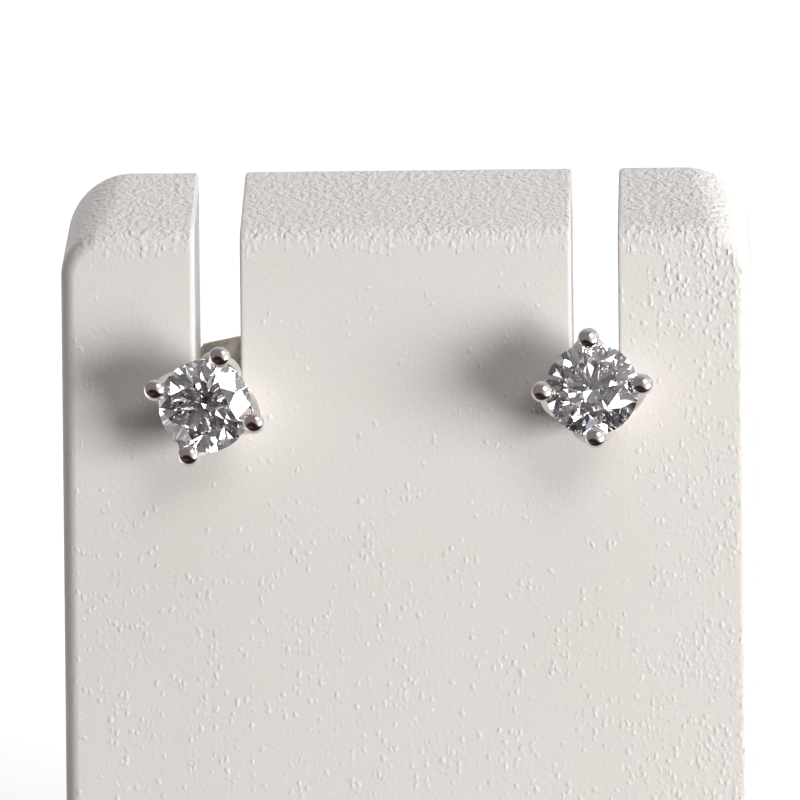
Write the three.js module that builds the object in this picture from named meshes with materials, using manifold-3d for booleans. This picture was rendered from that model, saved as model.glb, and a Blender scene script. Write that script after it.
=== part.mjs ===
// A pair of four-claw diamond stud earrings, each pushed through a slot of a slanted display stand
// and held there by a butterfly back.
// Millimetres. X runs to the right, Y away from the viewer and Z up. The origin is the middle of the
// stand's underside.

import * as THREE from "three";
import { mergeVertices } from "three/addons/utils/BufferGeometryUtils.js";
import Module from "manifold-3d";

// Display stand: a slab that leans back on a flat base plate.
const STAND_HEIGHT = 40;
const PANEL_WIDTH = 30.5;
const PANEL_DEPTH = 6.6; // front to back, measured level
const PANEL_LEAN_DEG = 28; // from upright, with the top away from the viewer
const PANEL_CORNER_RADIUS = 2.95; // of the upper corners at the back
const PANEL_FRONT_CORNER_RADIUS = 1.9;
const EDGE_ROUNDING = 0.65; // how far a rounded edge reaches into each of its two faces
const BASE_DEPTH = 30;
const BASE_THICKNESS = 5;
const BASE_MARGIN = 1.5; // of the base plate beside and in front of the slab
const BASE_CORNER_RADIUS = 3;

// Slots: open at the top, with round ends.
const SLOT_SPACING = 16.7; // centre to centre
const SLOT_WIDTH = 2.1;
const SLOT_DEPTH = 9.15; // down the slope from the slab's upper front edge

// Stone: a round brilliant. Its shares are those that cutters give, of the stone's diameter or radius.
const STONE_DIAMETER = 4.1;
const GIRDLE_THICKNESS = 0.12;
const TABLE_SHARE = 0.57; // table's width corner to corner, of the diameter
const CROWN_ANGLE_DEG = 34.5;
const PAVILION_ANGLE_DEG = 40.8;
const STAR_SHARE = 0.5; // how far a star facet reaches from the table's edge to the girdle
const LOWER_HALF_SHARE = 0.77; // how far a lower half facet reaches from the girdle to the culet
const MAIN_FACETS = 8;

// Setting: a basket of four claws on a base plate, with a gallery rail under the girdle and a post.
const SEAT_CLEARANCE = 0.05; // all round the stone
const CLAW_COUNT = 4;
const CLAW_THICKNESS = 0.55;
const CLAW_WIDTH = 0.9; // at the girdle
const CLAW_TIP_RADIUS = 0.48;
const CLAW_TIP_DOME = 0.32; // of the flattened tip over its own middle
const CLAW_TIP_RISE = 0.36; // of the tip's centre over the girdle
const HEAD_HEIGHT = 2.8; // from the girdle to the base plate's back
const HEAD_FOOT_RADIUS = 1.35;
const HEAD_FLOOR = 0.45; // thickness of the base plate
const WINDOW_FOOT = 0.3; // from the base plate's front to the lowest point between two claws
const RAIL_WIRE_RADIUS = 0.18;
const RAIL_RADIUS = 1.72; // of the rail's centre line
const RAIL_DROP = 1; // of the rail's centre line under the girdle
const POST_DIAMETER = 0.8;
const POST_LENGTH = 10.5; // behind the base plate

// Butterfly back: a pressed plate with a hole, whose two ends roll back against the post.
const NUT_WIDTH = 3.8; // across both rolls
const NUT_HEIGHT = 3.6;
const NUT_CORNER_RADIUS = 1.1;
const NUT_PLATE = 0.3;
const NUT_ROLL_RADIUS = 0.55; // of the rolled strip's centre line
const NUT_ROLL_LENGTH = 2.4;
const NUT_ROLL_TURN_DEG = 310;
const POST_CLEARANCE = 0.06; // between the post and the nut
const SEAT_GAP = 0.06; // between the slab and what is pushed against it

// Where each stud sits: the point where its axis meets the slab's front, to the right of its slot's
// middle and up the slope from the slot's floor, and the radius on which its claw tips lie.
const LEFT_OFFSET = -0.1;
const LEFT_RISE = 1.975;
const LEFT_CLAW_CIRCLE = 2.3;
const RIGHT_OFFSET = -0.15;
const RIGHT_RISE = 1.66;
const RIGHT_CLAW_CIRCLE = 2.2;

// How each stud is turned, in degrees. Tilt and turn are its axis against the slab's normal, up and to
// the right. Roll turns the claws clockwise, and facets and nutRoll turn the stone and the butterfly
// back the other way, as the viewer sees them.
const STUDS = [
  {
    side: "left",
    slot: -1,
    offset: LEFT_OFFSET,
    rise: LEFT_RISE,
    clawCircle: LEFT_CLAW_CIRCLE,
    tilt: -6.6,
    turn: -5,
    roll: 19,
    facets: 2,
    nutRoll: 101,
  },
  {
    side: "right",
    slot: 1,
    offset: RIGHT_OFFSET,
    rise: RIGHT_RISE,
    clawCircle: RIGHT_CLAW_CIRCLE,
    tilt: 9.7,
    turn: 1.3,
    roll: -3.6,
    facets: -13,
    nutRoll: 8,
  },
];

// How finely round shapes are cut up.
const ARC_STEPS = 6;
const EDGE_STEPS = 3;
const STONE_SIDES = 48;
const HEAD_SIDES = 32;
const HEAD_STEPS = 6;
const WIRE_SIDES = 8;
const TIP_SIDES = 12;
const TIP_RINGS = 8;
const POST_SIDES = 16;
const ROLL_STEPS = 12;
const SLIGHT = 1e-5; // places closer than this are one

const wasm = await Module();
wasm.setup();

const radians = THREE.MathUtils.degToRad;
const lean = radians(PANEL_LEAN_DEG);
const across = new THREE.Vector3(1, 0, 0);
const upSlope = new THREE.Vector3(0, Math.sin(lean), Math.cos(lean));
const outward = new THREE.Vector3(0, -Math.cos(lean), Math.sin(lean));
const panelThickness = PANEL_DEPTH * Math.cos(lean);
const panelFrontFoot = -BASE_DEPTH / 2 + BASE_MARGIN;
const panelFrontTop = panelFrontFoot + (STAND_HEIGHT - BASE_THICKNESS) * Math.tan(lean);
const panelSlope = STAND_HEIGHT / Math.cos(lean);

const stoneRadius = STONE_DIAMETER / 2;
const postRadius = POST_DIAMETER / 2;

const leatherette = new THREE.MeshStandardMaterial({ color: 0xe6e2df, roughness: 0.6, metalness: 0 });
const diamond = new THREE.MeshStandardMaterial({ color: 0xf4f8ff, roughness: 0.02, metalness: 0.1 });
const whiteGold = new THREE.MeshStandardMaterial({ color: 0xd9d7d4, roughness: 0.12, metalness: 1 });

/** A closed geometry as a solid that can be cut and joined. */
function solidOf(geometry) {
  const bare = new THREE.BufferGeometry().setAttribute("position", geometry.getAttribute("position"));
  bare.setIndex(geometry.index);
  const merged = mergeVertices(bare, SLIGHT);
  const vertProperties = new Float32Array(merged.attributes.position.array);
  const triVerts = new Uint32Array(merged.index.array);
  return new wasm.Manifold(new wasm.Mesh({ numProp: 3, vertProperties, triVerts }));
}

/** A named mesh of a finished solid. */
function meshOf(name, solid, material) {
  const { vertProperties, triVerts } = solid.getMesh();
  const geometry = new THREE.BufferGeometry();
  geometry.setAttribute("position", new THREE.BufferAttribute(vertProperties, 3));
  geometry.setIndex(new THREE.BufferAttribute(triVerts, 1));
  geometry.computeVertexNormals();
  const mesh = new THREE.Mesh(geometry, material);
  mesh.name = name;
  return mesh;
}

/** A rectangle with round corners, centred on the origin. */
function roundedRectangle(width, height, radius) {
  const [x, y] = [width / 2 - radius, height / 2 - radius];
  const shape = new THREE.Shape();
  shape.absarc(x, y, radius, 0, Math.PI / 2);
  shape.absarc(-x, y, radius, Math.PI / 2, Math.PI);
  shape.absarc(-x, -y, radius, Math.PI, 1.5 * Math.PI);
  shape.absarc(x, -y, radius, 1.5 * Math.PI, 2 * Math.PI);
  return shape;
}

/** A shape pushed out from z = 0 to the depth, with its outer edges rounded. */
function roundedSlab(shape, depth) {
  const geometry = new THREE.ExtrudeGeometry(shape, {
    depth: depth - 2 * EDGE_ROUNDING,
    curveSegments: ARC_STEPS,
    bevelSize: EDGE_ROUNDING,
    bevelThickness: EDGE_ROUNDING,
    bevelOffset: -EDGE_ROUNDING,
    bevelSegments: EDGE_STEPS,
  });
  return geometry.translate(0, 0, EDGE_ROUNDING);
}

/** A profile of [radius, height] points turned once round Z, from the axis back to the axis. */
function turned(profile, sides) {
  const points = profile.map(([radius, height]) => new THREE.Vector2(radius, height));
  return new THREE.LatheGeometry(points, sides).rotateX(Math.PI / 2);
}

/** Moves the front end of the slab's upper corners out, so that they get the front's smaller radius. */
function tightenFront(slab) {
  const spare = PANEL_CORNER_RADIUS - PANEL_FRONT_CORNER_RADIUS;
  const point = new THREE.Vector3();
  const places = slab.getAttribute("position");
  for (let i = 0; i < places.count; i += 1) {
    point.fromBufferAttribute(places, i);
    const side = Math.sign(point.x);
    const out = Math.abs(point.x) - PANEL_WIDTH / 2 + PANEL_CORNER_RADIUS;
    const up = point.y + PANEL_CORNER_RADIUS;
    if (point.z > PANEL_DEPTH / 2 && Math.min(out, up) > -SLIGHT) {
      const reach = Math.hypot(out, up);
      point.x += side * spare * (1 - out / reach);
      point.y += spare * (1 - up / reach);
      places.setXYZ(i, point.x, point.y, point.z);
    }
  }
  return slab;
}

/** The leaning slab, cut off inside the base plate. */
function panelSolid() {
  const half = PANEL_WIDTH / 2;
  const radius = PANEL_CORNER_RADIUS;
  const outline = new THREE.Shape();
  outline.moveTo(-half, -panelSlope);
  outline.lineTo(half, -panelSlope);
  outline.absarc(half - radius, -radius, radius, 0, Math.PI / 2);
  outline.absarc(-half + radius, -radius, radius, Math.PI / 2, Math.PI);
  const backTop = new THREE.Vector3(0, panelFrontTop + PANEL_DEPTH, STAND_HEIGHT);
  const front = new THREE.Vector3(0, -1, 0);
  const frame = new THREE.Matrix4().makeBasis(across, upSlope, front);
  const slab = tightenFront(roundedSlab(outline, PANEL_DEPTH)).applyMatrix4(frame.setPosition(backTop));
  return solidOf(slab).trimByPlane([0, 0, 1], BASE_THICKNESS / 2);
}

/** What is cut away for one slot, square to the slab's face. */
function slotSolid(slot) {
  const radius = SLOT_WIDTH / 2;
  const above = SLOT_DEPTH;
  const outline = new THREE.Shape();
  outline.moveTo(radius, above);
  outline.lineTo(-radius, above);
  outline.absarc(0, radius - SLOT_DEPTH, radius, Math.PI, 2 * Math.PI);
  const reach = 2 * panelThickness;
  const bar = new THREE.ExtrudeGeometry(outline, {
    depth: 2 * reach,
    curveSegments: 2 * ARC_STEPS,
    bevelEnabled: false,
  });
  const frame = new THREE.Matrix4().makeBasis(across, upSlope, outward);
  const middle = onPanelFront((slot * SLOT_SPACING) / 2, 0);
  return solidOf(bar.translate(0, 0, -reach).applyMatrix4(frame.setPosition(middle)));
}

/** The base plate, centred on the origin. */
function baseSolid() {
  const outline = roundedRectangle(PANEL_WIDTH + 2 * BASE_MARGIN, BASE_DEPTH, BASE_CORNER_RADIUS);
  return solidOf(roundedSlab(outline, BASE_THICKNESS));
}

/** A point of the slab's front face, to the right of its middle and down from its upper edge. */
function onPanelFront(right, down) {
  return new THREE.Vector3(right, panelFrontTop, STAND_HEIGHT).addScaledVector(upSlope, -down);
}

/** The stone, with its table towards +Z and every face moved out by the allowance. */
function stoneSolid(allowance) {
  const girdle = GIRDLE_THICKNESS / 2;
  const step = (2 * Math.PI) / MAIN_FACETS;
  const crown = Math.tan(radians(CROWN_ANGLE_DEG));
  const pavilion = Math.tan(radians(PAVILION_ANGLE_DEG));
  const tableCorner = stoneRadius * TABLE_SHARE;
  const tableHeight = girdle + (stoneRadius - tableCorner) * crown;
  const tableEdge = tableCorner * Math.cos(step / 2);
  const starEnd = tableEdge + STAR_SHARE * (stoneRadius - tableEdge);
  const halfEnd = (1 - LOWER_HALF_SHARE) * stoneRadius;
  const at = (radius, turn, height) =>
    new THREE.Vector3(radius * Math.cos(turn), radius * Math.sin(turn), height);
  const rise = (radius) => stoneRadius - radius * Math.cos(step / 2);
  const crownMeet = at(starEnd, step / 2, girdle + rise(starEnd) * crown);
  const pavilionMeet = at(halfEnd, step / 2, -girdle - rise(halfEnd) * pavilion);
  const facets = [
    [at(tableCorner, 0, tableHeight), crownMeet, at(stoneRadius, 0, girdle)],
    [at(tableCorner, 0, tableHeight), at(tableCorner, step, tableHeight), crownMeet],
    [crownMeet, at(stoneRadius, step / 2, girdle), at(stoneRadius, 0, girdle)],
    [crownMeet, at(stoneRadius, step, girdle), at(stoneRadius, step / 2, girdle)],
    [at(stoneRadius, 0, -girdle), pavilionMeet, at(0, 0, -girdle - stoneRadius * pavilion)],
    [at(stoneRadius, 0, -girdle), at(stoneRadius, step / 2, -girdle), pavilionMeet],
    [at(stoneRadius, step / 2, -girdle), at(stoneRadius, step, -girdle), pavilionMeet],
  ];
  const height = 2 * (tableHeight + stoneRadius * pavilion);
  const radius = stoneRadius + allowance;
  const blank = new THREE.CylinderGeometry(radius, radius, height, STONE_SIDES).rotateX(Math.PI / 2);
  let stone = solidOf(blank).trimByPlane([0, 0, -1], -tableHeight - allowance);
  for (const corners of facets) {
    const face = new THREE.Plane().setFromCoplanarPoints(...corners);
    if (face.distanceToPoint(new THREE.Vector3()) > 0) face.negate();
    for (let i = 0; i < MAIN_FACETS; i++) {
      const inward = face.normal.clone().negate().applyAxisAngle(new THREE.Vector3(0, 0, 1), i * step);
      stone = stone.trimByPlane(inward.toArray(), face.constant - allowance);
    }
  }
  return stone;
}

/** The wall of the basket before its windows are cut: a cup that widens from its foot to the girdle. */
function cupSolid() {
  const rim = stoneRadius + SEAT_CLEARANCE + CLAW_THICKNESS;
  const swell = HEAD_HEIGHT / 3;
  const side = new THREE.CubicBezierCurve(
    new THREE.Vector2(HEAD_FOOT_RADIUS, -HEAD_HEIGHT),
    new THREE.Vector2(HEAD_FOOT_RADIUS + swell / 2, -HEAD_HEIGHT + swell),
    new THREE.Vector2(rim, -swell),
    new THREE.Vector2(rim, CLAW_TIP_RISE / 2),
  );
  const outer = side.getPoints(HEAD_STEPS).map(({ x, y }) => [x, y]);
  const floor = -HEAD_HEIGHT + HEAD_FLOOR;
  const above = outer.filter(([, height]) => height > floor);
  const inner = above.map(([radius, height]) => [radius - CLAW_THICKNESS, height]);
  const bottom = [
    [inner[0][0], floor],
    [0, floor],
  ];
  return solidOf(turned([[0, -HEAD_HEIGHT], ...outer, ...inner.reverse(), ...bottom], HEAD_SIDES));
}

/** What is cut away between two claws, as seen along X: wide at the top and round at its foot. */
function windowSolid() {
  const middle = stoneRadius + SEAT_CLEARANCE + CLAW_THICKNESS / 2;
  const half = middle * Math.sin(Math.PI / CLAW_COUNT - Math.asin(CLAW_WIDTH / 2 / middle));
  const foot = -HEAD_HEIGHT + HEAD_FLOOR + WINDOW_FOOT;
  const top = CLAW_TIP_RISE;
  const outline = new THREE.Shape();
  outline.moveTo(half, top);
  outline.lineTo(-half, top);
  outline.bezierCurveTo(-half, foot / 2, -half / 2, foot, 0, foot);
  outline.bezierCurveTo(half / 2, foot, half, foot / 2, half, top);
  const bar = new THREE.ExtrudeGeometry(outline, {
    depth: 2 * middle,
    curveSegments: ARC_STEPS,
    bevelEnabled: false,
  });
  return solidOf(bar.rotateX(Math.PI / 2).rotateZ(Math.PI / 2));
}

/** The gallery rail: a ring of round wire. */
function railSolid() {
  const ring = new THREE.TorusGeometry(RAIL_RADIUS, RAIL_WIRE_RADIUS, WIRE_SIDES, HEAD_SIDES);
  return solidOf(ring).translate(0, 0, -RAIL_DROP);
}

/** The post, with a round end, running back from the middle of the base plate. */
function postSolid() {
  const back = -HEAD_HEIGHT - POST_LENGTH;
  const end = Array.from({ length: ARC_STEPS + 1 }, (_, i) => {
    const angle = (i / ARC_STEPS) * (Math.PI / 2);
    return [postRadius * Math.sin(angle), back + postRadius * (1 - Math.cos(angle))];
  });
  const inside = -HEAD_HEIGHT + HEAD_FLOOR / 2;
  return solidOf(turned([...end, [postRadius, inside], [0, inside]], POST_SIDES));
}

/** The setting of one stud, cut to seat its stone. */
function settingSolid(clawCircle, seat) {
  const pitch = 360 / CLAW_COUNT;
  const tip = new THREE.SphereGeometry(CLAW_TIP_RADIUS, TIP_SIDES, TIP_RINGS).rotateX(Math.PI / 2);
  const flat = CLAW_TIP_DOME / CLAW_TIP_RADIUS;
  const claws = solidOf(tip).scale([1, 1, flat]).translate(clawCircle, 0, CLAW_TIP_RISE);
  const opening = windowSolid().rotate(0, 0, pitch / 2);
  let head = cupSolid();
  for (let i = 0; i < CLAW_COUNT; i++) head = head.subtract(opening.rotate(0, 0, i * pitch));
  for (let i = 0; i < CLAW_COUNT; i++) head = head.add(claws.rotate(0, 0, i * pitch));
  return head.add(railSolid()).add(postSolid()).subtract(seat);
}

/** One rolled end of the butterfly back, from the plate round to the post. */
function rollSolid() {
  const centre = postRadius + POST_CLEARANCE + NUT_ROLL_RADIUS + NUT_PLATE / 2;
  const turn = radians(NUT_ROLL_TURN_DEG);
  const strip = new THREE.Shape();
  const outer = NUT_ROLL_RADIUS + NUT_PLATE / 2;
  strip.absarc(0, 0, outer, Math.PI / 2, Math.PI / 2 - turn, true);
  strip.absarc(0, 0, outer - NUT_PLATE, Math.PI / 2 - turn, Math.PI / 2);
  const roll = new THREE.ExtrudeGeometry(strip, {
    depth: NUT_ROLL_LENGTH,
    curveSegments: ROLL_STEPS,
    bevelEnabled: false,
  });
  roll.translate(centre, -outer, -NUT_ROLL_LENGTH / 2).rotateX(Math.PI / 2);
  return solidOf(roll);
}

/** The butterfly back, with its plate's front at z = 0 and its rolls behind. */
function nutSolid() {
  const plate = new THREE.ExtrudeGeometry(roundedRectangle(NUT_WIDTH, NUT_HEIGHT, NUT_CORNER_RADIUS), {
    depth: NUT_PLATE,
    curveSegments: ARC_STEPS,
    bevelEnabled: false,
  });
  const roll = rollSolid();
  const hole = postRadius + POST_CLEARANCE;
  const drill = new THREE.CylinderGeometry(hole, hole, 4 * NUT_PLATE, POST_SIDES).rotateX(Math.PI / 2);
  const nut = solidOf(plate.translate(0, 0, -NUT_PLATE)).add(roll).add(roll.rotate(0, 0, 180));
  return nut.subtract(solidOf(drill));
}

/** A stud in its own group: the stone's middle at the origin and its table towards +Z. */
function studGroup({ side, slot, offset, rise, clawCircle, tilt, turn, roll, facets, nutRoll }) {
  const axis = outward.clone().applyAxisAngle(across, -radians(tilt));
  axis.applyAxisAngle(upSlope, radians(turn));
  const right = new THREE.Vector3().crossVectors(upSlope, axis).normalize();
  const up = new THREE.Vector3().crossVectors(axis, right);
  const lift = axis.angleTo(outward);
  const headGap = HEAD_FOOT_RADIUS * Math.sin(lift) + SEAT_GAP;
  const nutGap = (Math.hypot(NUT_WIDTH, NUT_HEIGHT) / 2) * Math.sin(lift) + SEAT_GAP;
  const toFront = headGap / Math.cos(lift) + HEAD_HEIGHT;
  const toNut = toFront + (panelThickness + nutGap) / Math.cos(lift);

  const turnStone = (allowance) => stoneSolid(allowance).rotate(0, 0, facets + roll);
  const setting = settingSolid(clawCircle, turnStone(SEAT_CLEARANCE));
  const stud = new THREE.Group();
  stud.add(meshOf(side + "_diamond", turnStone(0), diamond));
  stud.add(meshOf(side + "_setting", setting, whiteGold));
  stud.rotation.z = -radians(roll);
  const nut = meshOf(side + "_butterfly_back", nutSolid(), whiteGold);
  nut.rotation.z = radians(nutRoll);
  nut.position.z = -toNut;

  const placed = new THREE.Group().add(stud, nut);
  const foot = onPanelFront((slot * SLOT_SPACING) / 2 + offset, SLOT_DEPTH - rise);
  placed.quaternion.setFromRotationMatrix(new THREE.Matrix4().makeBasis(right, up, axis));
  placed.position.copy(foot).addScaledVector(axis, toFront);
  return placed;
}

/** The stand as one solid: slab and base plate joined, with both slots cut. */
function standMesh() {
  let stand = baseSolid().add(panelSolid());
  for (const { slot } of STUDS) stand = stand.subtract(slotSolid(slot));
  return meshOf("display_stand", stand, leatherette);
}

const jewellery = new THREE.Group();
jewellery.add(standMesh(), ...STUDS.map(studGroup));

export default jewellery;
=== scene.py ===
"""Looks of a pair of four-claw diamond stud earrings pushed into a slanted display stand.

Lengths are given in millimetres, in the model's own frame: X to the right, Y away from the
viewer and Z up. Each piece is made in millimetres and put into metres as its last step.
"""

import logging
import math
from collections.abc import Callable, Iterable, Sequence
from dataclasses import dataclass, field
from enum import Enum

import bmesh
import bpy
from mathutils import Matrix, Quaternion, Vector


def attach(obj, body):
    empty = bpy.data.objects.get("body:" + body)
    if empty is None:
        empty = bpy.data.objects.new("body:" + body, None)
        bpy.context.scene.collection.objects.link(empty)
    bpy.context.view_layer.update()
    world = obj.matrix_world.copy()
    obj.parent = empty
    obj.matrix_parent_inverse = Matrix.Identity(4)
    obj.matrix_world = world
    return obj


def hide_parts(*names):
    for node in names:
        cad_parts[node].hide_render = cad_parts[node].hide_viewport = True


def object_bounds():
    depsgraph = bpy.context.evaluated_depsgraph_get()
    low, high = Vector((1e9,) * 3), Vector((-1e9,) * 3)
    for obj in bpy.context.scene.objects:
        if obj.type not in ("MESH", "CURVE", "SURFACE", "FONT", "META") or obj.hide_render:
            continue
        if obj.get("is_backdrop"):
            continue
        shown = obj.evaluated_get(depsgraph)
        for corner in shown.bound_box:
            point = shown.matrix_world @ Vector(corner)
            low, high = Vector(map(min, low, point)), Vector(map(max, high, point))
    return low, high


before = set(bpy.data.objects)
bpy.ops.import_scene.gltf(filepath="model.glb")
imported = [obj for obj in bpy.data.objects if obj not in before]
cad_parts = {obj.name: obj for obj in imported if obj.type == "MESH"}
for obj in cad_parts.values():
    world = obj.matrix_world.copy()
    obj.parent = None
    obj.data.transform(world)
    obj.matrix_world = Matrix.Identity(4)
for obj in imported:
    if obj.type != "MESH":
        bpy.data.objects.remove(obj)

log = logging.getLogger("earrings")

MM = 0.001
BODY = "root"
RIGHT = Vector((1.0, 0.0, 0.0))
AWAY = Vector((0.0, 1.0, 0.0))
UP = Vector((0.0, 0.0, 1.0))
SLIGHT = 1e-4
ON_PLANE = 1e-5

Colour = tuple[float, float, float]
Flat = tuple[float, float]
Point = tuple[float, float, float]

Socket = bpy.types.NodeSocket
Inputs = dict[str | int, object]


class Slot(Enum):
    """The record's material slots."""

    LEATHERETTE = "leatherette"
    DIAMOND = "diamond"
    WHITE_GOLD = "white_gold"


# Mesh tools


def add_object(name: str, data: bpy.types.ID) -> bpy.types.Object:
    """Puts an object with this data into the scene."""
    made = bpy.data.objects.new(name, data)
    bpy.context.scene.collection.objects.link(made)
    return made


def mesh_from(bm: bmesh.types.BMesh, name: str) -> bpy.types.Mesh:
    """Turns a bmesh into a mesh and frees it."""
    mesh = bpy.data.meshes.new(name)
    bm.to_mesh(mesh)
    bm.free()
    return mesh


def finish_mesh(bm: bmesh.types.BMesh, name: str, place: Matrix, crease_deg: float) -> bpy.types.Object:
    """Turns a bmesh in millimetres into an object in metres.

    Args:
        bm: The closed mesh, which is freed.
        name: The object's name.
        place: From the mesh's own millimetres to the model's.
        crease_deg: Edges that turn by more than this stay sharp.

    Returns:
        The object, at the origin, with its place in its mesh.
    """
    bmesh.ops.remove_doubles(bm, verts=bm.verts, dist=SLIGHT)
    bmesh.ops.recalc_face_normals(bm, faces=bm.faces)
    for edge in bm.edges:
        edge.smooth = edge.calc_face_angle(0.0) < math.radians(crease_deg)
    for face in bm.faces:
        face.smooth = True
    bmesh.ops.transform(bm, matrix=Matrix.Scale(MM, 4) @ place, verts=bm.verts)
    if place.determinant() < 0:
        bmesh.ops.reverse_faces(bm, faces=bm.faces)
    return add_object(name, mesh_from(bm, name))


def flatten_faces(piece: bpy.types.Object) -> None:
    """Keeps wide faces flat to the light, and lets the narrow ones beside them carry the turn."""
    weighted = piece.modifiers.new("flat_faces", "WEIGHTED_NORMAL")
    weighted.mode = "FACE_AREA"
    weighted.weight = 100
    weighted.keep_sharp = True


def polygon(bm: bmesh.types.BMesh, corners: Sequence[Point]) -> bmesh.types.BMFace:
    """One face through the corners."""
    return bm.faces.new([bm.verts.new(corner) for corner in corners])


def round_corners(
    bm: bmesh.types.BMesh, wanted: Callable[[Vector], bool], radius: float, segments: int
) -> None:
    """Rounds the corners of a flat outline.

    Args:
        bm: The mesh that holds the outline.
        wanted: Says by its place whether a corner is rounded.
        radius: How far the rounding starts from the corner.
        segments: Steps in each corner.
    """
    corners = [v for v in bm.verts if wanted(v.co)]
    bmesh.ops.bevel(
        bm,
        geom=corners,
        offset=radius,
        offset_type="OFFSET",
        segments=segments,
        profile=0.5,
        affect="VERTICES",
        clamp_overlap=False,
        material=-1,
    )
    bmesh.ops.remove_doubles(bm, verts=bm.verts, dist=SLIGHT)


def thicken(bm: bmesh.types.BMesh, depth: float, along: Vector = UP) -> None:
    """Pushes a flat outline out and closes it."""
    made = bmesh.ops.extrude_face_region(bm, geom=list(bm.faces), use_keep_orig=True)
    moved = [item for item in made["geom"] if isinstance(item, bmesh.types.BMVert)]
    bmesh.ops.translate(bm, vec=along * depth, verts=moved)
    bmesh.ops.recalc_face_normals(bm, faces=bm.faces)


def round_edges(
    bm: bmesh.types.BMesh, wanted: Callable[[bmesh.types.BMEdge], bool], radius: float, segments: int
) -> None:
    """Rounds the edges that are wanted."""
    bmesh.ops.bevel(
        bm,
        geom=[edge for edge in bm.edges if wanted(edge)],
        offset=radius,
        offset_type="OFFSET",
        segments=segments,
        profile=0.5,
        affect="EDGES",
        material=-1,
    )


def turned(bm: bmesh.types.BMesh, profile: Sequence[Flat], sides: int) -> None:
    """Spins a profile of (radius, height) once round Z.

    Args:
        bm: The mesh that takes the shape.
        profile: From the axis back to the axis, or a closed loop whose first point comes again last.
        sides: Steps round the axis.
    """
    before = set(bm.verts)
    line = [bm.verts.new((radius, 0.0, height)) for radius, height in profile]
    edges = [bm.edges.new(pair) for pair in zip(line, line[1:])]
    bmesh.ops.spin(
        bm,
        geom=line + edges,
        cent=(0, 0, 0),
        axis=UP,
        angle=2 * math.pi,
        steps=sides,
        use_merge=True,
    )
    made = [v for v in bm.verts if v not in before]
    bmesh.ops.remove_doubles(bm, verts=made, dist=SLIGHT)


def arc(centre: Flat, radius: float, start: float, end: float, steps: int) -> list[Flat]:
    """Points of an arc in a plane, with its angles in degrees."""
    turns = [math.radians(start + (end - start) * i / steps) for i in range(steps + 1)]
    return [(centre[0] + radius * math.cos(t), centre[1] + radius * math.sin(t)) for t in turns]


def bezier(points: Sequence[Vector], t: float) -> Vector:
    """A point of the Bezier curve with these control points."""
    row = list(points)
    while len(row) > 1:
        row = [a.lerp(b, t) for a, b in zip(row, row[1:])]
    return row[0]


def carved(bm: bmesh.types.BMesh, tool: bmesh.types.BMesh) -> bmesh.types.BMesh:
    """Joins a mesh's own overlapping shells and takes the tool's shape out of them.

    Args:
        bm: The shells, which are freed.
        tool: What is cut away, which is freed.

    Returns:
        The solid that is left.
    """
    made = []
    for name, part in (("shells", bm), ("tool", tool)):
        bmesh.ops.recalc_face_normals(part, faces=part.faces)
        made.append(add_object(name, mesh_from(part, name)))
    cut = made[0].modifiers.new("cut", "BOOLEAN")
    cut.operation, cut.solver, cut.object, cut.use_self = "DIFFERENCE", "EXACT", made[1], True
    bpy.context.view_layer.update()
    result = bmesh.new()
    result.from_object(made[0], bpy.context.evaluated_depsgraph_get())
    for part in made:
        mesh = part.data
        bpy.data.objects.remove(part)
        bpy.data.meshes.remove(mesh)
    return result


def copy_into(part: bmesh.types.BMesh, whole: bmesh.types.BMesh) -> None:
    """Adds one mesh to another and frees it."""
    mesh = mesh_from(part, "part")
    whole.from_mesh(mesh)
    bpy.data.meshes.remove(mesh)


# Material tools


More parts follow.
